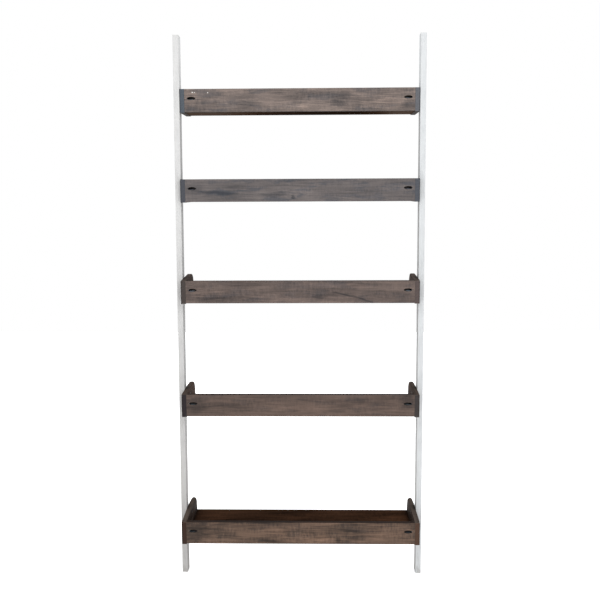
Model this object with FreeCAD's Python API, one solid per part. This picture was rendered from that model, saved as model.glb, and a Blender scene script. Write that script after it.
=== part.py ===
import FreeCAD, Part
import math
import os

# Ladder shelf: two narrow uprights lean back together and carry five level, open-backed trays.
# Millimetres. +X to the right, +Y towards the wall, +Z up. The front faces -Y.
# The origin is on the floor, in the middle of the shelf's outline seen from above.

V = FreeCAD.Vector

# ---- the frame ----
OVERALL_HEIGHT = 1785.0     # floor to the highest corner of an upright
LEAN_DEG = 2.5              # how far the uprights lean back from plumb
UPRIGHT_WIDTH = 19.0        # along X, the narrow face seen from the front
UPRIGHT_DEPTH = 38.0        # front face to back face, square to the upright
UPRIGHT_EDGE_ROUND = 1.5

# ---- the trays, from the top one down ----
TRAY_WIDTH = 775.0          # outside the side panels, which is also inside the uprights
TRAY_TOPS = (1615.0, 1327.0, 1000.0, 631.5, 221.0)      # top edges above the floor
TRAY_DEPTHS = (130.0, 145.0, 170.0, 192.0, 235.0)       # front face to back edge
BACK_STANDOFF = 91.0        # a tray's back edge behind the uprights' back, at the tray's top
SIDE_THICKNESS = 16.0
SIDE_HEIGHT = 75.0          # at its front end
SIDE_RISES = (0.0, 0.0, 9.0, 4.5, 2.0)      # how far a side panel's top edge climbs towards its back
SIDE_CORNER_RADIUS = 34.0   # the round at the top of each side panel's back end
FRONT_THICKNESS = 16.0
FRONT_HEIGHT = 73.0         # its top is level with the side panels' front corners
FLOOR_THICKNESS = 19.0      # its underside is level with the front board's
TRAY_EDGE_ROUND = 1.0

# ---- the pocket screws that pull each front board to the side panels ----
POCKET_ANGLE_DEG = 20.0
POCKET_DIAMETER = 10.0
POCKET_DROP = 30.0          # the pocket's axis below the front board's top
PAN_HEAD_DIAMETER = 8.0
PAN_HEAD_HEIGHT = 2.4
HEAD_SINK = 0.5             # the head's rim below the board's face

# ---- the countersunk screws ----
FLAT_HEAD_DIAMETER = 8.0
UPRIGHT_SCREW_HEIGHTS = (36.0, 58.0)    # above the side panel's bottom
FLOOR_SCREW_INSET = 22.0                # from the floor board's front and back edges
FLOOR_SCREW_BITE = 24.0                 # how far it goes into the floor board's end
SCREW_TIP_COVER = 3.4                   # wood left beyond a screw's tip

# ---- common to every screw ----
SHANK_DIAMETER = 4.0
DRIVE_SIZE = 2.6            # square recess, across the flats
DRIVE_DEPTH = 1.5
HOLE_CLEARANCE = 0.2        # between a screw and its hole, all round
HOLE_RUNOUT = 0.6           # a hole's extra depth beyond the screw's tip

LEAN = math.radians(LEAN_DEG)
POCKET_ANGLE = math.radians(POCKET_ANGLE_DEG)
LEVEL_DEPTH = UPRIGHT_DEPTH / math.cos(LEAN)    # an upright's depth measured level
INNER_HALF_WIDTH = TRAY_WIDTH / 2 - SIDE_THICKNESS
HOLE_RADIUS = SHANK_DIAMETER / 2 + HOLE_CLEARANCE
SIDES = (("left", -1), ("right", 1))
NEARLY_PARALLEL = 0.999     # the cosine between two directions taken as one
NEARLY_FLAT = 0.001         # the extent of an edge that lies in a level or upright plane


def upright_front(z):
    """Y of the uprights' front face at height z, before the outline is centred."""
    return z * math.tan(LEAN)


def tray_back(top, depth):
    return upright_front(top) + LEVEL_DEPTH + BACK_STANDOFF


def outline_centre():
    """Y of the middle of everything seen from above."""
    tray_ends = [tray_back(top, depth) for top, depth in zip(TRAY_TOPS, TRAY_DEPTHS)]
    tray_fronts = [back - depth for back, depth in zip(tray_ends, TRAY_DEPTHS)]
    upright_end = (upright_front(OVERALL_HEIGHT) + UPRIGHT_DEPTH * math.cos(LEAN))
    return (min([0.0] + tray_fronts) + max([upright_end] + tray_ends)) / 2


CENTRE_Y = outline_centre()


class Tray:
    """Where one tray's boards lie."""

    def __init__(self, number, top, depth, rise):
        self.number = number
        self.top = top
        self.depth = depth
        self.back_top = top + rise
        self.back = tray_back(top, depth) - CENTRE_Y
        self.front = self.back - depth
        self.bottom = top - SIDE_HEIGHT
        self.floor_front = self.front + FRONT_THICKNESS
        self.floor_bottom = top - FRONT_HEIGHT
        self.floor_middle = self.floor_bottom + FLOOR_THICKNESS / 2
        self.pocket_height = top - POCKET_DROP

    def upright_screw_points(self):
        """(y, z) of the screws into one upright, mid-way along the bare part of its face."""
        points = []
        for height in UPRIGHT_SCREW_HEIGHTS:
            z = self.bottom + height
            face = upright_front(z) - CENTRE_Y
            bare_start = max(face, self.floor_front)
            points.append(((bare_start + face + LEVEL_DEPTH) / 2, z))
        return points

    def floor_screw_points(self):
        """(y, z) of the screws into one end of the floor board."""
        return [(self.floor_front + FLOOR_SCREW_INSET, self.floor_middle),
                (self.back - FLOOR_SCREW_INSET, self.floor_middle)]


TRAYS = [Tray(number, *sizes)
         for number, sizes in enumerate(zip(TRAY_TOPS, TRAY_DEPTHS, SIDE_RISES), start=1)]


def box(x0, x1, y0, y1, z0, z1):
    return Part.makeBox(x1 - x0, y1 - y0, z1 - z0, V(x0, y0, z0))


def ease(solid, radius, length_axis):
    """Round the edges that run along a board's length."""
    edges = []
    for edge in solid.Edges:
        along = edge.tangentAt(edge.FirstParameter)
        if isinstance(edge.Curve, Part.Line) and abs(along.dot(length_axis)) > NEARLY_PARALLEL:
            edges.append(edge)
    return solid.makeFillet(radius, edges)


def cylinder_along(start, direction, radius, length):
    return Part.makeCylinder(radius, length, start, direction)


def square_recess(face_centre, inward):
    """The square drive recess cut into a screw head."""
    cutter = Part.makeBox(DRIVE_SIZE, DRIVE_SIZE, DRIVE_DEPTH,
                          V(-DRIVE_SIZE / 2, -DRIVE_SIZE / 2, 0))
    cutter.Placement = FreeCAD.Placement(face_centre, FreeCAD.Rotation(V(0, 0, 1), inward))
    return cutter


# ---- countersunk screws, which all lie along X ----
def flat_head_screw(face_x, y, z, length, inward):
    """A countersunk screw whose head is flush with the face at face_x. inward is +1 or -1 along X."""
    start = V(face_x, y, z)
    direction = V(inward, 0, 0)
    head_height = (FLAT_HEAD_DIAMETER - SHANK_DIAMETER) / 2
    head = Part.makeCone(FLAT_HEAD_DIAMETER / 2, SHANK_DIAMETER / 2, head_height, start, direction)
    shank = cylinder_along(start, direction, SHANK_DIAMETER / 2, length)
    return head.fuse(shank).cut(square_recess(start, direction)).removeSplitter()


def flat_head_hole(face_x, y, z, length, inward):
    """The countersunk hole for that screw, with clearance all round."""
    start = V(face_x, y, z)
    direction = V(inward, 0, 0)
    mouth = FLAT_HEAD_DIAMETER / 2 + HOLE_CLEARANCE
    sink = Part.makeCone(mouth, HOLE_RADIUS, mouth - HOLE_RADIUS, start, direction)
    return sink.fuse(cylinder_along(start, direction, HOLE_RADIUS, length + HOLE_RUNOUT))


def upright_screw_sites(tray, side):
    """(face_x, y, z, length, inward) of the screws from a tray's inside into one upright."""
    length = SIDE_THICKNESS + UPRIGHT_WIDTH - SCREW_TIP_COVER
    return [(side * INNER_HALF_WIDTH, y, z, length, side) for y, z in tray.upright_screw_points()]


def floor_screw_sites(tray, side):
    """The same for the screws from a side panel's outer face into the floor board's end."""
    length = SIDE_THICKNESS + FLOOR_SCREW_BITE
    return [(side * TRAY_WIDTH / 2, y, z, length, -side) for y, z in tray.floor_screw_points()]


# ---- pocket screws, which slant from a front board's face into a side panel ----
def pocket_axis(side):
    """The direction a pocket screw is driven in."""
    return V(side * math.cos(POCKET_ANGLE), math.sin(POCKET_ANGLE), 0)


def seat_distance():
    """From the joint back to the screw's seat, along the axis, so that the head is just sunk.

    The axis meets the joint at half the board's thickness.
    """
    head_depth = PAN_HEAD_DIAMETER / 2 * math.cos(POCKET_ANGLE) + PAN_HEAD_HEIGHT * math.sin(POCKET_ANGLE)
    return (FRONT_THICKNESS / 2 - head_depth - HEAD_SINK) / math.sin(POCKET_ANGLE)


def pocket_seat(tray, side):
    """The middle of a pocket's flat seat."""
    joint = V(side * INNER_HALF_WIDTH, tray.front + FRONT_THICKNESS / 2, tray.pocket_height)
    return joint - pocket_axis(side) * seat_distance()


def pocket_screw_length():
    return seat_distance() + (SIDE_THICKNESS - SCREW_TIP_COVER) / math.cos(POCKET_ANGLE)


def pocket_screw(tray, side):
    axis = pocket_axis(side)
    seat = pocket_seat(tray, side)
    crown = seat - axis * PAN_HEAD_HEIGHT
    head = cylinder_along(crown, axis, PAN_HEAD_DIAMETER / 2, PAN_HEAD_HEIGHT)
    shank = cylinder_along(crown, axis, SHANK_DIAMETER / 2, PAN_HEAD_HEIGHT + pocket_screw_length())
    return head.fuse(shank).cut(square_recess(crown, axis)).removeSplitter()


def pocket_cut(tray, side):
    """The pocket from its seat out through the board's face."""
    axis = pocket_axis(side)
    reach = (FRONT_THICKNESS + POCKET_DIAMETER) / math.sin(POCKET_ANGLE)
    start = pocket_seat(tray, side) - axis * reach
    return cylinder_along(start, axis, POCKET_DIAMETER / 2, reach)


def pocket_pilot(tray, side):
    """The hole from the pocket's seat to the screw's tip, through the joint."""
    return cylinder_along(pocket_seat(tray, side), pocket_axis(side), HOLE_RADIUS,
                          pocket_screw_length() + HOLE_RUNOUT)


# ---- the boards ----
def upright(side):
    """One upright: its foot is cut level and its top is square to its length."""
    top_front = V(0, upright_front(OVERALL_HEIGHT), OVERALL_HEIGHT)
    top_back = top_front + V(0, math.cos(LEAN), -math.sin(LEAN)) * UPRIGHT_DEPTH
    corners = [V(0, 0, 0), V(0, LEVEL_DEPTH, 0), top_back, top_front]
    inner = side * TRAY_WIDTH / 2
    section = Part.Face(Part.makePolygon(corners + corners[:1]))
    body = section.extrude(V(side * UPRIGHT_WIDTH, 0, 0))
    body = ease(body, UPRIGHT_EDGE_ROUND, V(0, math.sin(LEAN), math.cos(LEAN)))
    body.translate(V(inner, -CENTRE_Y, 0))
    for tray in TRAYS:
        for site in upright_screw_sites(tray, side):
            body = body.cut(flat_head_hole(*site))
    return body


def side_panel(tray, side):
    """A side panel, with its top back corner rounded."""
    radius = SIDE_CORNER_RADIUS
    low_front = V(0, tray.front, tray.bottom)
    low_back = V(0, tray.back, tray.bottom)
    arc_low = V(0, tray.back, tray.back_top - radius)
    arc_top = V(0, tray.back - radius, tray.back_top)
    arc_middle = V(0, tray.back - radius + radius * math.sqrt(0.5),
                   tray.back_top - radius + radius * math.sqrt(0.5))
    high_front = V(0, tray.front, tray.top)
    outline = Part.Wire([Part.makeLine(low_front, low_back),
                         Part.makeLine(low_back, arc_low),
                         Part.Arc(arc_low, arc_middle, arc_top).toShape(),
                         Part.makeLine(arc_top, high_front),
                         Part.makeLine(high_front, low_front)])
    body = Part.Face(outline).extrude(V(side * SIDE_THICKNESS, 0, 0))
    body.translate(V(side * INNER_HALF_WIDTH, 0, 0))
    body = body.makeFillet(TRAY_EDGE_ROUND, [e for e in body.Edges if abs(e.BoundBox.XLength) < NEARLY_FLAT])
    for site in upright_screw_sites(tray, side) + floor_screw_sites(tray, side):
        body = body.cut(flat_head_hole(*site))
    return body.cut(pocket_pilot(tray, side))


def front_board(tray):
    """The front board, with a slanted screw pocket near each end."""
    body = box(-INNER_HALF_WIDTH, INNER_HALF_WIDTH, tray.front, tray.floor_front,
               tray.floor_bottom, tray.top)
    body = ease(body, TRAY_EDGE_ROUND, V(1, 0, 0))
    for _, side in SIDES:
        body = body.cut(pocket_cut(tray, side)).cut(pocket_pilot(tray, side))
    return body


def floor_board(tray):
    body = box(-INNER_HALF_WIDTH, INNER_HALF_WIDTH, tray.floor_front, tray.back,
               tray.floor_bottom, tray.floor_bottom + FLOOR_THICKNESS)
    body = ease(body, TRAY_EDGE_ROUND, V(1, 0, 0))
    for _, side in SIDES:
        for site in floor_screw_sites(tray, side):
            body = body.cut(flat_head_hole(*site))
    return body


def screw_group(sites_of, tray):
    return [flat_head_screw(*site) for _, side in SIDES for site in sites_of(tray, side)]


def export(name, solids):
    """Write one node: a single solid, or a group of identical ones."""
    shape = solids[0] if len(solids) == 1 else Part.makeCompound(solids)
    shape.exportStep(f"parts/{name}.step")


def main():
    os.makedirs("parts", exist_ok=True)
    for name, side in SIDES:
        export(f"upright_{name}", [upright(side)])
    for tray in TRAYS:
        prefix = f"tray_{tray.number}"
        for name, side in SIDES:
            export(f"{prefix}_side_panel_{name}", [side_panel(tray, side)])
        export(f"{prefix}_front_board", [front_board(tray)])
        export(f"{prefix}_floor_board", [floor_board(tray)])
        export(f"{prefix}_pocket_screws", [pocket_screw(tray, side) for _, side in SIDES])
        export(f"{prefix}_upright_screws", screw_group(upright_screw_sites, tray))
        export(f"{prefix}_floor_screws", screw_group(floor_screw_sites, tray))


main()
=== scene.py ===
import math
from collections import namedtuple
from functools import partial

import bmesh
import bpy
from mathutils import Matrix, Vector


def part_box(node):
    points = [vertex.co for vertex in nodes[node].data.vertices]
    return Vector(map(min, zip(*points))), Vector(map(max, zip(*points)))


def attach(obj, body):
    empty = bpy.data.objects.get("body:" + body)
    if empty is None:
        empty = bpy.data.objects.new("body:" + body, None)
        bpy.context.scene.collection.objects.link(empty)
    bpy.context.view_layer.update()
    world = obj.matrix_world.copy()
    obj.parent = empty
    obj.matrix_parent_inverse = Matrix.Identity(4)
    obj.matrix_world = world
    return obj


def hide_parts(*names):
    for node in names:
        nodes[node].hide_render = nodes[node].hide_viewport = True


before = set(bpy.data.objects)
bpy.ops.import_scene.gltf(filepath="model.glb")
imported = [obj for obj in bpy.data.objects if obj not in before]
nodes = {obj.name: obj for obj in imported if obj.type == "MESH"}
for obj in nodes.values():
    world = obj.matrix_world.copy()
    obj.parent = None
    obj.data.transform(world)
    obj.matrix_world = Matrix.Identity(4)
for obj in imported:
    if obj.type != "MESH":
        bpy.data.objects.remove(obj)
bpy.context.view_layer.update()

# ---- the stains, as linear colours ----
# Every tray was stained on its own, the upper two greyer and the bottom one warmer.
# "figure" is how strongly a front board's grain shows, "bloom" how much of it went grey-blue,
# and the rubbing number how pale its arrises are: stain rubbed off, and painted highlight along
# them too. The panel end colours are what the thirsty end grain of the side panels turned, with
# the right ends painted lighter than the left as painted light. The pocket colour is a grey
# painted highlight on the lower walls of the screw pockets, set tray by tray. "ear_softness" is
# how far the side panels' ears were sanded round, in metres.
# Spots are pools and rubbed places in the stain, in metres from the board's middle:
# (along, up, half length, half height, tilt in degrees, tone). A tone below 1 is darker.
TRAYS = {
    1: {
        "front": (0.168, 0.134, 0.120), "figure": 1.20, "bloom": 0.50, "wear": 2.0,
        "panel_face": (0.054, 0.041, 0.034), "panel_edge": (0.054, 0.044, 0.040),
        "panel_ends": {"left": (0.098, 0.112, 0.130), "right": (0.138, 0.140, 0.152)},
        "pocket_dust": (0.16, 0.18, 0.21), "ear_softness": 0.0030,
        "front_spots": (
            (-0.170, -0.011, 0.055, 0.016, 2, 0.62), (0.126, -0.010, 0.035, 0.014, -6, 0.60),
            (0.007, -0.022, 0.035, 0.010, 0, 1.35), (0.213, -0.020, 0.022, 0.012, 8, 1.35),
            (-0.345, 0.006, 0.035, 0.030, 0, 1.28), (-0.180, 0.010, 0.090, 0.024, 2, 0.82),
            (0.140, 0.012, 0.052, 0.016, 0, 0.56), (0.290, -0.012, 0.085, 0.024, 2, 1.36),
        ),
        "floor_spots": ((0.070, 0.0, 0.260, 0.100, 0, 0.40),),
    },
    2: {
        "front": (0.134, 0.117, 0.114), "figure": 0.78, "bloom": 0.65, "wear": 1.0,
        "panel_face": (0.051, 0.041, 0.035), "panel_edge": (0.054, 0.048, 0.046),
        "panel_ends": {"left": (0.082, 0.084, 0.096), "right": (0.094, 0.098, 0.112)},
        "pocket_dust": (0.10, 0.105, 0.13), "ear_softness": 0.0030,
        "front_spots": (
            (-0.262, -0.008, 0.080, 0.009, -3, 0.62), (-0.081, -0.013, 0.062, 0.010, 2, 0.62),
            (-0.022, -0.022, 0.008, 0.009, 20, 0.50), (-0.340, 0.010, 0.040, 0.024, 0, 0.76),
            (0.020, 0.008, 0.060, 0.022, 0, 1.16),
        ),
        "floor_spots": ((0.100, 0.0, 0.150, 0.100, 0, 0.70),),
    },
    3: {
        "front": (0.124, 0.094, 0.083), "figure": 1.05, "bloom": 0.45, "wear": 1.0,
        "panel_face": (0.058, 0.038, 0.030), "panel_edge": (0.054, 0.040, 0.033),
        "panel_ends": {"left": (0.072, 0.060, 0.055), "right": (0.106, 0.082, 0.077)},
        "pocket_dust": (0.16, 0.18, 0.21), "ear_softness": 0.0030,
        "front_spots": (
            (0.150, -0.010, 0.055, 0.004, -14, 0.50), (0.205, -0.024, 0.050, 0.004, -20, 0.55),
            (0.064, -0.016, 0.030, 0.009, 0, 0.60), (-0.295, -0.004, 0.078, 0.022, 0, 1.40),
            (-0.200, 0.024, 0.110, 0.010, 1, 0.76), (0.120, 0.022, 0.120, 0.012, -2, 1.26),
            (0.220, -0.002, 0.036, 0.012, 0, 0.78),
        ),
        "floor_spots": ((-0.120, 0.0, 0.150, 0.100, 0, 0.75),),
    },
    4: {
        "front": (0.108, 0.076, 0.063), "figure": 0.92, "bloom": 0.35, "wear": 1.0,
        "panel_face": (0.060, 0.030, 0.019), "panel_edge": (0.050, 0.036, 0.029),
        "panel_ends": {"left": (0.034, 0.028, 0.030), "right": (0.056, 0.048, 0.046)},
        "pocket_dust": (0.075, 0.085, 0.095), "ear_softness": 0.0050,
        "front_spots": (
            (0.184, 0.017, 0.050, 0.012, 4, 0.72), (0.010, -0.010, 0.120, 0.016, 0, 1.15),
            (0.120, -0.018, 0.040, 0.008, 0, 0.75), (-0.345, 0.000, 0.050, 0.040, 0, 0.66),
            (0.352, 0.010, 0.040, 0.034, 0, 0.58), (0.200, 0.000, 0.070, 0.018, 0, 1.10),
        ),
        "floor_spots": ((0.050, 0.0, 0.180, 0.100, 0, 0.75),),
    },
    5: {
        "front": (0.108, 0.070, 0.051), "figure": 1.50, "bloom": 0.40, "wear": 1.0,
        "panel_face": (0.039, 0.026, 0.020), "panel_edge": (0.062, 0.047, 0.039),
        "panel_ends": {"left": (0.048, 0.029, 0.023), "right": (0.085, 0.050, 0.036)},
        "pocket_dust": (0.038, 0.044, 0.050), "ear_softness": 0.0076,
        "front_spots": (
            (0.167, 0.008, 0.050, 0.007, -6, 0.42), (0.122, -0.023, 0.012, 0.010, 0, 0.48),
            (-0.060, 0.006, 0.110, 0.014, -3, 1.25), (0.330, 0.010, 0.090, 0.024, 0, 1.25),
            (-0.350, 0.000, 0.070, 0.060, 0, 0.42), (-0.245, -0.010, 0.070, 0.020, 0, 0.74),
            (0.035, -0.016, 0.120, 0.024, -2, 1.44),
        ),
        "floor_spots": ((-0.150, 0.0, 0.120, 0.100, 0, 0.80), (0.330, 0.0, 0.120, 0.100, 0, 1.40)),
    },
}
TOP_TRAY = 1
FRONT_EDGE_STAIN = (0.0135, 0.0045, 0.0012)
FRONT_END_STAIN = (0.05, 0.045, 0.04)
FLOOR_STAIN = (0.032, 0.0155, 0.0090)
FLOOR_END_STAIN = (0.02, 0.015, 0.012)
# Pale wood on the rubbed arrises, also painted highlight along them.
BARE_WOOD_AND_HIGHLIGHT = (0.34, 0.26, 0.20)
# Near black: painted shade in corners, the pockets' dark insides, and the darker line down the side
# panels' outer arrises.
NEAR_BLACK = (0.006, 0.0045, 0.004)
# What the stain is multiplied by where the grain took least, where it took most, and where
# it bloomed grey-blue.
DARK_SHARE = (0.38, 0.42, 0.46)
PALE_SHARE = (1.85, 1.80, 1.74)
BLOOM_SHARE = (0.58, 0.70, 0.84)

# Chips through the stain of the top front board: (along, up, width) from its middle.
CHIPS = ((-0.3455, 0.0258, 0.0034), (-0.3385, 0.0252, 0.0022), (-0.2955, 0.0245, 0.0031))
CHIPPED_WOOD = (0.80, 0.77, 0.73)
# The top floor board's underside is paler towards its ends: where along X each end's paler
# colour begins, and where it is palest.
PALE_END_COLOUR = (0.085, 0.058, 0.044)
PALE_END_LEFT = (-0.120, -0.290)
PALE_END_RIGHT = (0.245, 0.320)

# The screw pockets in a front board, in metres from its middle.
FRONT_HALF_THICKNESS = 0.008
POCKET_UP = 0.0065
# A darker line runs down each side panel's outer arris, between these distances from the
# shelf's middle.
OUTER_ARRIS_BAND = (0.3838, 0.3860)

# ---- the uprights' paint ----
# The foot number is painted shade: how far each upright darkens towards its foot, the left one
# more.
PAINT = {
    "left": {"paint": (0.72, 0.71, 0.70), "dull": (0.64, 0.63, 0.62), "wood": (0.46, 0.44, 0.42),
             "shade_at_foot": 0.50},
    "right": {"paint": (0.71, 0.72, 0.725), "dull": (0.63, 0.64, 0.645), "wood": (0.46, 0.46, 0.46),
              "shade_at_foot": 0.04},
}
SCUFF_DIRT = (0.30, 0.27, 0.24)
# Painted shade, towards the foot of each upright.
FOOT_SHADE = (0.36, 0.34, 0.32)
# Painted shade on the uprights' inner faces beside the trays.
INNER_FACE_SHADE = (0.40, 0.385, 0.37)
RUBBED_PAINT = (0.50, 0.46, 0.42)

# ---- the side panels' rounded back corners, in metres ----
EAR_CORNER = 0.034
EAR_FADE_FORWARD = 0.045
EAR_FADE_DOWN = 0.020
BOARD_ARRIS = 0.001
# The panels are cut finely across their ears, and more coarsely where the softness fades.
FINE_CUT = 0.0015
FINE_CUTS = 23
FORWARD_CUT = 0.005
FORWARD_CUTS = 9
DOWN_CUT = 0.004
DOWN_CUTS = 5
MERGE = 1e-6

# The studio floor's glow, and how much brighter the camera sees it.
FLOOR_GLOW = 0.25
FLOOR_GLOW_SEEN = 0.50

# The two sides, and which way along X is outwards.
SIDES = {"left": -1.0, "right": 1.0}
X_AXIS = (1.0, 0.0, 0.0)
Y_AXIS = (0.0, 1.0, 0.0)
Z_AXIS = (0.0, 0.0, 1.0)
ORIGIN = (0.0, 0.0, 0.0)
WHITE = (1.0, 1.0, 1.0)

# How a board's grain runs, and the turn that takes it to X.
Grain = namedtuple("Grain", "direction turn")
GRAIN_X = Grain(X_AXIS, ORIGIN)
GRAIN_Y = Grain(Y_AXIS, (0.0, 0.0, math.radians(-90.0)))
GRAIN_UP = Grain(Z_AXIS, (0.0, math.radians(90.0), 0.0))

FLOAT = "NodeSocketFloat"
VECTOR = "NodeSocketVector"


# ---- small helpers for node trees ----
def add(tree, kind, feeds=None, **settings):
    """Adds a node, with its settings and with values or sockets fed to its inputs."""
    node = tree.nodes.new(kind)
    for setting, value in settings.items():
        setattr(node, setting, value)
    for socket, value in (feeds or {}).items():
        if isinstance(value, bpy.types.NodeSocket):
            tree.links.new(value, node.inputs[socket])
        else:
            node.inputs[socket].default_value = value
    return node


def worked_out(tree, operation, *values):
    """The output of a math node."""
    return add(tree, "ShaderNodeMath", dict(enumerate(values)), operation=operation).outputs[0]


def product(tree, *values):
    """Several numbers multiplied together."""
    result = values[0]
    for value in values[1:]:
        result = worked_out(tree, "MULTIPLY", result, value)
    return result


def vector_worked_out(tree, operation, *values):
    """The vector that a vector math node gives."""
    feeds = dict(enumerate(values))
    return add(tree, "ShaderNodeVectorMath", feeds, operation=operation).outputs["Vector"]


def ramped(tree, value, start, end, low=0.0, high=1.0):
    """value eased from low, at start, to high, at end."""
    feeds = {"Value": value, "From Min": start, "From Max": end, "To Min": low, "To Max": high}
    return add(tree, "ShaderNodeMapRange", feeds, interpolation_type="SMOOTHSTEP").outputs[0]


def parts_of(tree, vector):
    """A vector's X, Y and Z."""
    return add(tree, "ShaderNodeSeparateXYZ", {0: vector}).outputs


def object_place(tree):
    return add(tree, "ShaderNodeTexCoord").outputs["Object"]


def face_direction(tree):
    """Which way the face points, whatever its shading."""
    return add(tree, "ShaderNodeNewGeometry").outputs["True Normal"]


def noise(tree, place, scale, detail, roughness, shift=ORIGIN, distortion=0.0, output="Fac"):
    """Noise with its own scale per metre along each axis."""
    feeds = {"Vector": place, "Scale": scale, "Location": shift}
    scaled = add(tree, "ShaderNodeMapping", feeds).outputs[0]
    feeds = {"Vector": scaled, "Scale": 1.0, "Detail": detail, "Roughness": roughness,
             "Distortion": distortion}
    return add(tree, "ShaderNodeTexNoise", feeds).outputs[output]


def streaks(tree, place, along, across, detail, roughness, **others):
    """Noise drawn out along X, which is the grain."""
    return noise(tree, place, (along, across, across), detail, roughness, **others)


def colours_mixed(tree, factor, first, second, mode="MIX"):
    """Two colours mixed, each a linear colour or a socket."""
    node = add(tree, "ShaderNodeMix", {0: factor}, data_type="RGBA", blend_type=mode)
    colour_sockets = [socket for socket in node.inputs if socket.type == "RGBA"]
    for socket, colour in zip(colour_sockets, (first, second)):
        if isinstance(colour, bpy.types.NodeSocket):
            tree.links.new(colour, socket)
        else:
            socket.default_value = (*colour, 1.0)
    return next(socket for socket in node.outputs if socket.type == "RGBA")


def toned(tree, colour, tone):
    """A colour made lighter or darker by a number that changes over the surface."""
    grey = add(tree, "ShaderNodeCombineColor", {0: tone, 1: tone, 2: tone}).outputs[0]
    return colours_mixed(tree, 1.0, colour, grey, "MULTIPLY")


def bumped(tree, shader, height, distance, strength):
    """Raises the surface by height."""
    feeds = {"Height": height, "Distance": distance, "Strength": strength}
    tree.links.new(add(tree, "ShaderNodeBump", feeds).outputs[0], shader.inputs["Normal"])


def new_effect(name, inputs, outputs):
    """An empty node group: (group, the sockets it is given, the sockets it gives)."""
    group = bpy.data.node_groups.new(name, "ShaderNodeTree")
    for label, kind, value in inputs:
        socket = group.interface.new_socket(name=label, in_out="INPUT", socket_type=kind)
        socket.default_value = value
    for label in outputs:
        group.interface.new_socket(name=label, in_out="OUTPUT", socket_type=FLOAT)
    given = group.nodes.new("NodeGroupInput").outputs
    gives = group.nodes.new("NodeGroupOutput").inputs
    return group, given, gives


def use_effect(tree, effect, **feeds):
    """Places a node group and returns its outputs. Input names have _ for spaces."""
    spaced = {label.replace("_", " "): value for label, value in feeds.items()}
    return add(tree, "ShaderNodeGroup", spaced, node_tree=effect).outputs


# ---- effects that several finishes share ----
def make_grain():
    """Sawn softwood. Place is in metres from the board's middle, with X along the grain."""
    tree, given, gives = new_effect(
        "sawn grain",
        (("Place", VECTOR, ORIGIN), ("Pith", VECTOR, (0.0, 0.0, -0.05)),
         ("Ring Width", FLOAT, 0.004), ("Wander", FLOAT, 0.010)),
        ("Figure", "Rings", "Fibre", "Flecks", "Clouds", "Relief"),
    )
    place = given["Place"]

    # The rings lie round the pith, which leans a little and wanders along the board.
    slow = streaks(tree, place, 1.7, 9.0, 2.0, 0.5, output="Color")
    centred = vector_worked_out(tree, "SUBTRACT", slow, (0.5, 0.5, 0.5))
    drift = add(tree, "ShaderNodeVectorMath", {0: centred, "Scale": given["Wander"]},
                operation="SCALE").outputs[0]
    wandering = vector_worked_out(tree, "ADD", place, drift)
    from_pith = vector_worked_out(tree, "SUBTRACT", wandering, given["Pith"])
    feeds = {"Vector": from_pith, "Rotation": (0.0, 0.028, 0.017)}
    leaning = add(tree, "ShaderNodeMapping", feeds).outputs[0]
    # A wave of scale 1 repeats every 0.314159 m.
    ring_scale = worked_out(tree, "DIVIDE", 0.314159, given["Ring Width"])
    feeds = {"Vector": leaning, "Scale": ring_scale, "Distortion": 1.2, "Detail": 2.0,
             "Detail Scale": 0.35, "Detail Roughness": 0.5}
    rings = add(tree, "ShaderNodeTexWave", feeds, wave_type="RINGS", rings_direction="X",
                wave_profile="SAW").outputs["Fac"]
    late_wood = ramped(tree, rings, 0.25, 0.95)

    fibre = streaks(tree, place, 17.0, 480.0, 5.0, 0.62)
    dashes = streaks(tree, place, 70.0, 1300.0, 2.0, 0.5, shift=(3.1, 0.7, 1.9))
    flecks = ramped(tree, dashes, 0.60, 0.74)
    broad = streaks(tree, place, 5.0, 21.0, 2.0, 0.5, shift=(7.3, 2.2, 5.1), distortion=0.3)
    narrow = streaks(tree, place, 9.0, 150.0, 5.0, 0.6, shift=(2.3, 8.2, 4.1), distortion=0.2)
    mottle = streaks(tree, place, 160.0, 45.0, 4.0, 0.65, shift=(5.3, 1.2, 0.1))
    clouds = streaks(tree, place, 12.0, 50.0, 5.0, 0.62, shift=(1.7, 4.2, 9.1), distortion=0.3)
    curl = product(tree, worked_out(tree, "SUBTRACT", mottle, 0.5),
                   ramped(tree, clouds, 0.38, 0.62, 0.2, 1.0))

    # Every noise is 0.5 on average and the late wood about 0.4, so this takes the figure's
    # mean to 0.
    figure = -1.32
    weights = ((broad, 1.05), (narrow, 0.80), (fibre, 0.95), (curl, 1.0), (late_wood, -0.16))
    for layer, weight in weights:
        figure = worked_out(tree, "MULTIPLY_ADD", layer, weight, figure)
    raised = worked_out(tree, "MULTIPLY_ADD", late_wood, 0.35, product(tree, fibre, 0.9))
    relief = worked_out(tree, "MULTIPLY_ADD", flecks, -0.5, raised)
    for label, socket in (("Figure", figure), ("Rings", late_wood), ("Fibre", fibre),
                          ("Flecks", flecks), ("Clouds", clouds), ("Relief", relief)):
        tree.links.new(socket, gives[label])
    return tree


def make_worn_edges():
    """1 along a piece's arrises, where handling has rubbed the finish, and ragged inwards."""
    tree, given, gives = new_effect(
        "worn edges",
        (("Place", VECTOR, ORIGIN), ("Reach", FLOAT, 0.002), ("Raggedness", FLOAT, 0.6)),
        ("Mask",),
    )
    rounded = add(tree, "ShaderNodeBevel", {"Radius": given["Reach"]}, samples=6).outputs[0]
    turn = add(tree, "ShaderNodeVectorMath", {0: rounded, 1: face_direction(tree)},
               operation="DOT_PRODUCT").outputs["Value"]
    arris = ramped(tree, turn, 0.995, 0.80)
    patchy = streaks(tree, given["Place"], 55.0, 130.0, 4.0, 0.6)
    least = worked_out(tree, "SUBTRACT", 1.0, given["Raggedness"])
    kept = ramped(tree, patchy, 0.62, 0.38, 1.0, least)
    tree.links.new(product(tree, arris, kept), gives["Mask"])
    return tree


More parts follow.
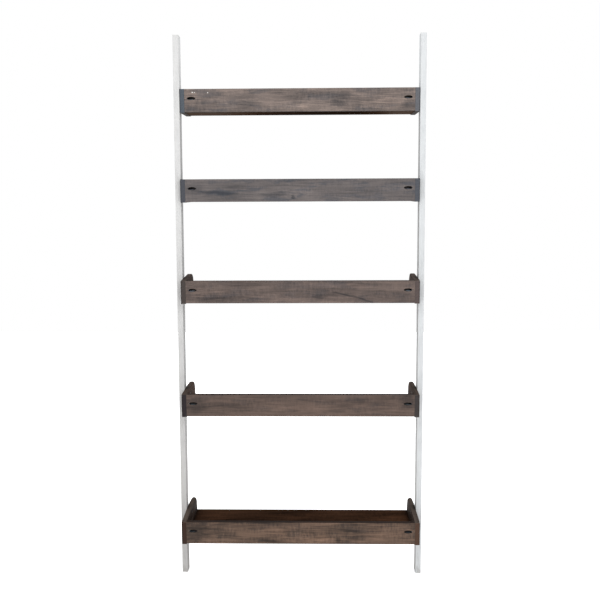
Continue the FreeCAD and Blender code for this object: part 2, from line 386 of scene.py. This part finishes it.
def make_facing():
    """1 on the faces that point along Direction, either way, such as a board's end grain."""
    tree, given, gives = new_effect("faces along", (("Direction", VECTOR, X_AXIS),), ("Mask",))
    facing = add(tree, "ShaderNodeVectorMath", {0: face_direction(tree), 1: given["Direction"]},
                 operation="DOT_PRODUCT").outputs["Value"]
    either_way = worked_out(tree, "ABSOLUTE", facing)
    tree.links.new(ramped(tree, either_way, 0.6, 0.9), gives["Mask"])
    return tree


def make_spot():
    """1 in the middle of a soft, drawn-out spot, with an uneven rim."""
    tree, given, gives = new_effect(
        "stain spot",
        (("Place", VECTOR, ORIGIN), ("Middle", VECTOR, ORIGIN),
         ("Size", VECTOR, (0.03, 1.0, 0.01)), ("Tilt", FLOAT, 0.0)),
        ("Mask",),
    )
    from_middle = vector_worked_out(tree, "SUBTRACT", given["Place"], given["Middle"])
    turned = add(tree, "ShaderNodeVectorRotate", {"Vector": from_middle, "Angle": given["Tilt"]},
                 rotation_type="Y_AXIS").outputs[0]
    sized = vector_worked_out(tree, "DIVIDE", turned, given["Size"])
    reach = add(tree, "ShaderNodeVectorMath", {0: sized}, operation="LENGTH").outputs["Value"]
    rim = streaks(tree, given["Place"], 28.0, 170.0, 3.0, 0.6)
    uneven = worked_out(tree, "MULTIPLY_ADD", worked_out(tree, "SUBTRACT", rim, 0.5), 1.5, reach)
    tree.links.new(ramped(tree, uneven, 1.1, 0.25), gives["Mask"])
    return tree


def make_painted_corner_shade():
    """1 deep in the corners: painted shade, darkening where nearby surfaces close in."""
    tree, given, gives = new_effect("painted corner shade", (("Reach", FLOAT, 0.02),), ("Mask",))
    openness = add(tree, "ShaderNodeAmbientOcclusion", {"Distance": given["Reach"]},
                   samples=6).outputs["AO"]
    tree.links.new(ramped(tree, openness, 0.80, 0.40), gives["Mask"])
    return tree


def make_pockets():
    """Inside is 1 in a front board's drilled screw pockets; the second output is painted highlight,
    1 on their lower walls where they face up.
    """
    tree, given, gives = new_effect(
        "screw pockets",
        (("Place", VECTOR, ORIGIN),),
        ("Inside", "Painted Highlight"),
    )
    where = parts_of(tree, given["Place"])
    depth = worked_out(tree, "ADD", where["Y"], FRONT_HALF_THICKNESS)
    below_face = ramped(tree, depth, 0.0001, 0.0006)
    short_of_back = ramped(tree, depth, 0.0156, 0.0152)
    near_end = ramped(tree, worked_out(tree, "ABSOLUTE", where["X"]), 0.310, 0.312)
    off_line = worked_out(tree, "ABSOLUTE", worked_out(tree, "SUBTRACT", where["Z"], POCKET_UP))
    at_height = ramped(tree, off_line, 0.0068, 0.0062)
    inside = product(tree, below_face, short_of_back, near_end, at_height)
    # Painted highlight: the pockets' lower walls, which face up towards the light, a little way in.
    upwards = ramped(tree, parts_of(tree, face_direction(tree))["Z"], 0.05, 0.75)
    well_in = ramped(tree, depth, 0.0008, 0.0035)
    tree.links.new(inside, gives["Inside"])
    tree.links.new(product(tree, upwards, well_in), gives["Painted Highlight"])
    return tree


def make_outer_arris_line():
    """1 down the outer edge of a side panel. Place is on the whole shelf."""
    tree, given, gives = new_effect("outer arris line", (("Place", VECTOR, ORIGIN),), ("Mask",))
    from_middle = worked_out(tree, "ABSOLUTE", parts_of(tree, given["Place"])["X"])
    tree.links.new(ramped(tree, from_middle, *OUTER_ARRIS_BAND), gives["Mask"])
    return tree


GRAIN = make_grain()
WORN_EDGES = make_worn_edges()
FACES_ALONG = make_facing()
SPOT = make_spot()
PAINTED_CORNER_SHADE = make_painted_corner_shade()
POCKETS = make_pockets()
OUTER_ARRIS_LINE = make_outer_arris_line()


# ---- finishes ----
def new_finish(name):
    """A material with a Principled shader: (material, tree, shader)."""
    material = bpy.data.materials.new(name)
    material.use_nodes = True
    tree = material.node_tree
    return material, tree, tree.nodes["Principled BSDF"]


def middle_of(node):
    low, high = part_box(node)
    return (low + high) / 2


def along_grain(tree, node, grain):
    """Object coordinates from a board's middle, turned so that X runs along its grain."""
    moved = vector_worked_out(tree, "SUBTRACT", object_place(tree), tuple(middle_of(node)))
    return add(tree, "ShaderNodeMapping", {"Vector": moved, "Rotation": grain.turn}).outputs[0]


def share_of(stain, share):
    return tuple(part * amount for part, amount in zip(stain, share))


def spotted(tree, on_board, colour, spots):
    """The stain with its pools, a little cooler, and its rubbed places, a little warmer."""
    for along, up, half_length, half_height, tilt, tone in spots:
        mask = use_effect(tree, SPOT, Place=on_board, Middle=(along, 0.0, up),
                          Size=(half_length, 1.0, half_height), Tilt=math.radians(tilt))["Mask"]
        shade = (tone, tone ** 0.9, tone ** 0.8)
        shaded = colours_mixed(tree, 1.0, colour, shade, "MULTIPLY")
        colour = colours_mixed(tree, mask, colour, shaded)
    return colour


def stained_board(name, node, grain, cut, stain, end, figuring, bloom, spots=(), edge=None,
                  corner_shade_reach=0.014, wear=1.0, gloss=0.12, extra=None):
    """Stained pine. cut is the board's own place in the log, and sets its figure.

    end is the stain on its end grain and edge the stain on its upper and lower edges.
    extra is a last step, which is given the tree, the place on the board and the colour.
    """
    material, tree, shader = new_finish(name)
    on_board = along_grain(tree, node, grain)
    place = vector_worked_out(tree, "ADD", on_board, cut)
    pith = (cut[0], cut[1] + 0.012, cut[2] - 0.062)
    figure = use_effect(tree, GRAIN, Place=place, Pith=pith, Ring_Width=0.0042, Wander=0.022)

    tone = worked_out(tree, "MULTIPLY_ADD", figure["Figure"], figuring, 0.45)
    limited = add(tree, "ShaderNodeClamp", {"Value": tone}).outputs[0]
    dark = share_of(stain, DARK_SHARE)
    colour = colours_mixed(tree, limited, dark, share_of(stain, PALE_SHARE))
    bloomed = ramped(tree, figure["Clouds"], 0.48, 0.66, 0.0, bloom)
    colour = colours_mixed(tree, bloomed, colour, share_of(stain, BLOOM_SHARE))
    colour = spotted(tree, on_board, colour, spots)
    colour = colours_mixed(tree, product(tree, figure["Flecks"], 0.50), colour, dark)

    end_grain = use_effect(tree, FACES_ALONG, Direction=grain.direction)["Mask"]
    end_tone = ramped(tree, figure["Rings"], 0.0, 1.0, 1.15, 0.75)
    colour = colours_mixed(tree, end_grain, colour, toned(tree, end, end_tone))
    if edge:
        level = use_effect(tree, FACES_ALONG, Direction=Z_AXIS)["Mask"]
        edge_tone = ramped(tree, figure["Figure"], -0.5, 0.5, 0.6, 1.4)
        colour = colours_mixed(tree, level, colour, toned(tree, edge, edge_tone))

    # Pale arrises: stain rubbed off by handling, and painted highlight along them too.
    rubbed = use_effect(tree, WORN_EDGES, Place=place, Reach=0.0022, Raggedness=0.8)["Mask"]
    colour = colours_mixed(tree, product(tree, rubbed, 0.28 * wear), colour, BARE_WOOD_AND_HIGHLIGHT)
    # Painted shade: near black deep in corners and hollows.
    corner_shade = use_effect(tree, PAINTED_CORNER_SHADE, Reach=corner_shade_reach)["Mask"]
    colour = colours_mixed(tree, corner_shade, colour, NEAR_BLACK)
    if extra:
        colour = extra(tree, on_board, colour)
    tree.links.new(colour, shader.inputs["Base Color"])

    matt = worked_out(tree, "MULTIPLY_ADD", figure["Fibre"], 0.22, 0.50)
    matt = worked_out(tree, "MULTIPLY_ADD", rubbed, -0.10, matt)
    matt = worked_out(tree, "MULTIPLY_ADD", end_grain, 0.15, matt)
    tree.links.new(matt, shader.inputs["Roughness"])
    shader.inputs["Specular IOR Level"].default_value = gloss
    bumped(tree, shader, figure["Relief"], 0.0005, 0.55)
    return material


def with_pockets(highlight_colour, tree, on_board, colour):
    """The screw pockets, near black with stain and painted shade, with painted highlight on their
    lower walls.
    """
    pocket = use_effect(tree, POCKETS, Place=on_board)
    drilled = colours_mixed(tree, pocket["Painted Highlight"], NEAR_BLACK, highlight_colour)
    return colours_mixed(tree, pocket["Inside"], colour, drilled)


def with_pockets_and_chips(highlight_colour, tree, on_board, colour):
    """The pockets, and a few pale chips in the front face of the top front board."""
    in_face = ramped(tree, parts_of(tree, on_board)["Y"], -0.0065, -0.0075)
    on_face = product(tree, use_effect(tree, FACES_ALONG, Direction=Y_AXIS)["Mask"], in_face)
    for along, up, width in CHIPS:
        chip = use_effect(tree, SPOT, Place=on_board, Middle=(along, 0.0, up),
                          Size=(width, 1.0, 0.8 * width), Tilt=0.0)["Mask"]
        bare = product(tree, ramped(tree, chip, 0.25, 0.55), on_face)
        colour = colours_mixed(tree, bare, colour, CHIPPED_WOOD)
    return with_pockets(highlight_colour, tree, on_board, colour)


def with_paler_ends_underneath(tree, on_board, colour):
    """The top floor board's underside, paler towards its ends."""
    along = parts_of(tree, on_board)["X"]
    left_end = ramped(tree, along, *PALE_END_LEFT)
    right_end = ramped(tree, along, *PALE_END_RIGHT)
    ends = worked_out(tree, "MAXIMUM", left_end, right_end)
    underneath = ramped(tree, parts_of(tree, face_direction(tree))["Z"], -0.6, -0.9)
    return colours_mixed(tree, product(tree, ends, underneath, 0.75), colour, PALE_END_COLOUR)


def with_outer_arris_line(tree, on_board, colour):
    """A darker line down the outer arris of a side panel's front end."""
    outside = use_effect(tree, OUTER_ARRIS_LINE, Place=object_place(tree))["Mask"]
    at_end = use_effect(tree, FACES_ALONG, Direction=Y_AXIS)["Mask"]
    return colours_mixed(tree, product(tree, outside, at_end, 0.55), colour, NEAR_BLACK)


def painted_upright(name, node, coat, inwards):
    """White paint brushed along the wood, thin enough for a little grain to show.

    inwards is 1 where +X points at the trays, and -1 where -X does.
    """
    material, tree, shader = new_finish(name)
    on_board = along_grain(tree, node, GRAIN_UP)
    figure = use_effect(tree, GRAIN, Place=on_board, Pith=(0.0, 0.03, -0.05), Ring_Width=0.005,
                        Wander=0.015)
    strokes = streaks(tree, on_board, 5.0, 900.0, 3.0, 0.6, shift=(0.3, 0.0, 0.0))
    dulled = ramped(tree, figure["Clouds"], 0.35, 0.70)
    colour = colours_mixed(tree, dulled, coat["paint"], coat["dull"])
    through_paint = ramped(tree, figure["Rings"], 0.2, 1.0, 0.0, 0.10)
    colour = colours_mixed(tree, through_paint, colour, coat["wood"])
    between_strokes = ramped(tree, strokes, 0.56, 0.72, 0.0, 0.12)
    colour = colours_mixed(tree, between_strokes, colour, coat["wood"])

    # Scuffs of dirt just above the floor; painted shade, darker downwards to the foot; and painted
    # shade on the inner faces beside the trays.
    height = parts_of(tree, object_place(tree))["Z"]
    scuffs = streaks(tree, on_board, 30.0, 90.0, 4.0, 0.65)
    floor_dirt = product(tree, ramped(tree, height, 0.14, 0.0), ramped(tree, scuffs, 0.42, 0.66))
    colour = colours_mixed(tree, product(tree, floor_dirt, 0.40), colour, SCUFF_DIRT)
    # Painted shade: the paint darkens downwards to the foot.
    painted_foot_shade = ramped(tree, height, 1.5, 0.0, 0.0, coat["shade_at_foot"])
    colour = colours_mixed(tree, painted_foot_shade, colour, FOOT_SHADE)
    # Painted shade on the inner faces, below the top tray.
    facing_trays = product(tree, parts_of(tree, face_direction(tree))["X"], inwards)
    below_top_tray = ramped(tree, height, 1.63, 1.56)
    painted_inner_shade = product(tree, ramped(tree, facing_trays, 0.55, 0.90), below_top_tray, 0.75)
    colour = colours_mixed(tree, painted_inner_shade, colour, INNER_FACE_SHADE)
    rubbed = use_effect(tree, WORN_EDGES, Place=on_board, Reach=0.0020, Raggedness=0.9)["Mask"]
    colour = colours_mixed(tree, product(tree, rubbed, 0.30), colour, RUBBED_PAINT)
    tree.links.new(colour, shader.inputs["Base Color"])

    matt = worked_out(tree, "MULTIPLY_ADD", strokes, 0.25, 0.34)
    matt = worked_out(tree, "MULTIPLY_ADD", floor_dirt, 0.2, matt)
    tree.links.new(matt, shader.inputs["Roughness"])
    shader.inputs["Specular IOR Level"].default_value = 0.40
    raised = worked_out(tree, "MULTIPLY_ADD", figure["Relief"], 0.35, strokes)
    bumped(tree, shader, raised, 0.0004, 0.45)
    return material


def steel_screw(name, bright, dull, rubbed_bright):
    """Plated steel, dulled in patches."""
    material, tree, shader = new_finish(name)
    place = object_place(tree)
    mottle = noise(tree, place, (900.0, 900.0, 900.0), 3.0, 0.6)
    lines = noise(tree, place, (5000.0, 700.0, 5000.0), 2.0, 0.5)
    colour = colours_mixed(tree, ramped(tree, mottle, 0.35, 0.70), bright, dull)
    rubbed = use_effect(tree, WORN_EDGES, Place=place, Reach=0.0005, Raggedness=0.4)["Mask"]
    colour = colours_mixed(tree, rubbed, colour, rubbed_bright)
    tree.links.new(colour, shader.inputs["Base Color"])
    shader.inputs["Metallic"].default_value = 1.0
    tree.links.new(worked_out(tree, "MULTIPLY_ADD", mottle, 0.35, 0.20), shader.inputs["Roughness"])
    bumped(tree, shader, lines, 0.0001, 0.3)
    return material


def dress(node, material):
    """Gives a CAD piece its finish in place of the plain one."""
    for material_slot in nodes[node].material_slots:
        material_slot.material = material


# ---- the side panels' sanded ears ----
# A panel's lowest and highest corners, how high its front end is, where its rounded back
# corner's arc is centred, and how far that corner was sanded round.
Panel = namedtuple("Panel", "low high front_height arc_y arc_z softness")


def ear_softness(panel, y, z):
    """How far a point lies in from a panel's rim, and how round the rim is beside it."""
    if y > panel.arc_y and z > panel.arc_z:
        return EAR_CORNER - math.hypot(y - panel.arc_y, z - panel.arc_z), panel.softness
    if z > panel.arc_z:
        share = (panel.arc_y - y) / (panel.arc_y - panel.low.y)
        rim = panel.high.z - (panel.high.z - panel.front_height) * share
        fade = (panel.arc_y - y) / EAR_FADE_FORWARD
        inward = rim - z
    else:
        fade = (panel.arc_z - z) / EAR_FADE_DOWN
        inward = panel.high.y - y
    return inward, panel.softness + (BOARD_ARRIS - panel.softness) * min(fade, 1.0)


def cut_finely(shape, panel):
    """Cuts a grid across the panel's ear and the stretches beside it."""
    across = [panel.arc_y - FORWARD_CUT * step for step in range(1, FORWARD_CUTS + 1)]
    across += [panel.arc_y + FINE_CUT * step for step in range(FINE_CUTS)]
    up = [panel.arc_z - DOWN_CUT * step for step in range(1, DOWN_CUTS + 1)]
    up += [panel.arc_z + FINE_CUT * step for step in range(FINE_CUTS)]
    cuts = [((0.0, y, 0.0), Y_AXIS) for y in across]
    cuts += [((0.0, 0.0, z), Z_AXIS) for z in up]
    for place, facing in cuts:
        everything = [*shape.verts, *shape.edges, *shape.faces]
        bmesh.ops.bisect_plane(shape, geom=everything, dist=MERGE, plane_co=place, plane_no=facing)


def sand(shape, panel):
    """Draws the ear's broad faces in towards the panel's middle along its rim."""
    middle = (panel.low.x + panel.high.x) / 2
    half = (panel.high.x - panel.low.x) / 2
    for vertex in shape.verts:
        if vertex.co.y < panel.arc_y and vertex.co.z < panel.arc_z:
            continue
        inward, round_off = ear_softness(panel, vertex.co.y, vertex.co.z)
        inward = max(inward, 0.0)
        if inward < round_off:
            widest = half - round_off + math.sqrt(round_off ** 2 - (round_off - inward) ** 2)
            offset = vertex.co.x - middle
            vertex.co.x = middle + max(-widest, min(widest, offset))


def sanded_panel(tray, side, softness):
    """A side panel whose ear was sanded rounder than its other arrises."""
    node = f"tray_{tray}_side_panel_{side}"
    low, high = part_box(node)
    front_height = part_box(f"tray_{tray}_front_board")[1].z
    panel = Panel(low, high, front_height, high.y - EAR_CORNER, high.z - EAR_CORNER, softness)
    shape = bmesh.new()
    shape.from_mesh(nodes[node].data)
    bmesh.ops.remove_doubles(shape, verts=shape.verts, dist=MERGE)
    cut_finely(shape, panel)
    sand(shape, panel)
    bmesh.ops.dissolve_degenerate(shape, dist=MERGE, edges=shape.edges)
    mesh = bpy.data.meshes.new(f"tray_{tray}_side_{side}_sanded")
    shape.to_mesh(mesh)
    shape.free()
    mesh.shade_smooth()
    mesh.set_sharp_from_angle(angle=math.radians(28.0))
    piece = bpy.data.objects.new(mesh.name, mesh)
    bpy.context.scene.collection.objects.link(piece)
    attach(piece, "root")
    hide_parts(node)
    return piece


# ---- the shelf ----
def finish_uprights():
    for side, outwards in SIDES.items():
        node = f"upright_{side}"
        dress(node, painted_upright(f"brushed white paint {side}", node, PAINT[side], -outwards))


def finish_front_board(tray, looks):
    node = f"tray_{tray}_front_board"
    last_step = with_pockets_and_chips if tray == TOP_TRAY else with_pockets
    dress(node, stained_board(
        f"front board stain {tray}", node, GRAIN_X,
        cut=(0.9 * tray, 0.013 * tray, 0.007 * tray),
        stain=looks["front"], end=FRONT_END_STAIN, edge=FRONT_EDGE_STAIN,
        figuring=looks["figure"], bloom=looks["bloom"], spots=looks["front_spots"],
        wear=looks["wear"], extra=partial(last_step, looks["pocket_dust"]),
    ))


def finish_floor_board(tray, looks):
    node = f"tray_{tray}_floor_board"
    dress(node, stained_board(
        f"floor board stain {tray}", node, GRAIN_X,
        cut=(0.7 * tray + 5.0, 0.02 * tray, -0.01 * tray),
        stain=FLOOR_STAIN, end=FLOOR_END_STAIN, figuring=1.3, bloom=0.2,
        spots=looks["floor_spots"], corner_shade_reach=0.03, gloss=0.0,
        extra=with_paler_ends_underneath if tray == TOP_TRAY else None,
    ))


def finish_side_panel(tray, looks, side, outwards):
    node = f"tray_{tray}_side_panel_{side}"
    # The end colours are stain, with the right ends painted lighter than the left: painted light.
    finish = stained_board(
        f"side panel stain {tray} {side}", node, GRAIN_Y,
        cut=(0.4 * tray + 9.0, 0.01 * tray, 0.02 * outwards * tray),
        stain=looks["panel_face"], end=looks["panel_ends"][side], edge=looks["panel_edge"],
        figuring=1.2, bloom=0.12, corner_shade_reach=0.03, gloss=0.02, extra=with_outer_arris_line,
    )
    dress(node, finish)
    sanded_panel(tray, side, looks["ear_softness"]).data.materials.append(finish)


def finish_screws():
    zinc = steel_screw("zinc screw", (0.36, 0.38, 0.42), (0.17, 0.18, 0.20), (0.62, 0.64, 0.68))
    stained_over = steel_screw("stained-over screw", (0.060, 0.054, 0.050), (0.028, 0.024, 0.022),
                               (0.14, 0.13, 0.125))
    kinds = (("pocket", zinc), ("upright", stained_over), ("floor", stained_over))
    for tray in TRAYS:
        for kind, screw_finish in kinds:
            dress(f"tray_{tray}_{kind}_screws", screw_finish)


# ---- the studio ----
def pale_floor():
    """A floor that glows a little, and more to the camera, so that it stays white."""
    plan = bmesh.new()
    bmesh.ops.create_grid(plan, x_segments=1, y_segments=1, size=4.5)
    mesh = bpy.data.meshes.new("studio floor")
    plan.to_mesh(mesh)
    plan.free()
    floor = bpy.data.objects.new("studio_floor", mesh)
    bpy.context.scene.collection.objects.link(floor)
    material, tree, shader = new_finish("pale floor")
    faint = noise(tree, object_place(tree), (2.0, 2.0, 2.0), 3.0, 0.5)
    colour = colours_mixed(tree, faint, (0.90, 0.90, 0.90), (0.93, 0.93, 0.93))
    tree.links.new(colour, shader.inputs["Base Color"])
    shader.inputs["Roughness"].default_value = 0.9
    shader.inputs["Specular IOR Level"].default_value = 0.1
    shader.inputs["Emission Color"].default_value = (*WHITE, 1.0)
    seen = add(tree, "ShaderNodeLightPath").outputs["Is Camera Ray"]
    glow = worked_out(tree, "MULTIPLY_ADD", seen, FLOOR_GLOW_SEEN, FLOOR_GLOW)
    tree.links.new(glow, shader.inputs["Emission Strength"])
    mesh.materials.append(material)


def soft_light(name, place, aim, width, depth, watts, colour):
    lamp = bpy.data.lights.new(name, "AREA")
    lamp.shape = "RECTANGLE"
    lamp.size = width
    lamp.size_y = depth
    lamp.energy = watts
    lamp.color = colour
    light = bpy.data.objects.new(name, lamp)
    turn = (Vector(aim) - Vector(place)).to_track_quat("-Z", "Y").to_matrix().to_4x4()
    light.matrix_world = Matrix.Translation(place) @ turn
    bpy.context.scene.collection.objects.link(light)


def white_surround():
    """A white room: what the camera sees of it is brighter than the light that it gives."""
    world = bpy.data.worlds.new("white surround")
    bpy.context.scene.world = world
    world.use_nodes = True
    tree = world.node_tree
    tree.nodes.clear()
    seen = add(tree, "ShaderNodeBackground", {"Color": (*WHITE, 1.0), "Strength": 1.0})
    lit = add(tree, "ShaderNodeBackground", {"Color": (0.94, 0.97, 1.0, 1.0), "Strength": 0.70})
    to_camera = add(tree, "ShaderNodeLightPath").outputs["Is Camera Ray"]
    both = add(tree, "ShaderNodeMixShader", {0: to_camera, 1: lit.outputs[0], 2: seen.outputs[0]})
    add(tree, "ShaderNodeOutputWorld", {"Surface": both.outputs[0]})


def shelf_camera(place, heading, below_level, roll, focal_length):
    """The camera, with its angles in degrees and its lens in millimetres."""
    lens = bpy.data.cameras.new("camera")
    lens.lens = focal_length
    lens.sensor_width = 36.0
    camera = bpy.data.objects.new("camera", lens)
    turned = Matrix.Rotation(math.radians(heading), 4, "Z")
    tipped = Matrix.Rotation(math.radians(90.0 - below_level), 4, "X")
    rolled = Matrix.Rotation(math.radians(roll), 4, "Z")
    camera.matrix_world = Matrix.Translation(place) @ turned @ tipped @ rolled
    bpy.context.scene.collection.objects.link(camera)
    bpy.context.scene.camera = camera


finish_uprights()
for tray, looks in TRAYS.items():
    finish_front_board(tray, looks)
    finish_floor_board(tray, looks)
    for side, outwards in SIDES.items():
        finish_side_panel(tray, looks, side, outwards)
finish_screws()

pale_floor()
soft_light("overhead", place=(0.0, -0.6, 5.0), aim=(0.0, -0.3, 0.0), width=8.0, depth=8.0,
           watts=260.0, colour=(1.0, 0.99, 0.97))
soft_light("right front", place=(2.2, -3.2, 2.6), aim=(0.0, 0.0, 1.1), width=1.6, depth=2.0,
           watts=16.0, colour=WHITE)
white_surround()
shelf_camera(place=(0.0539, -2.5732, 1.2929), heading=1.2213, below_level=8.011, roll=-0.2712,
             focal_length=47.14)
bpy.context.scene.view_settings.view_transform = "Standard"
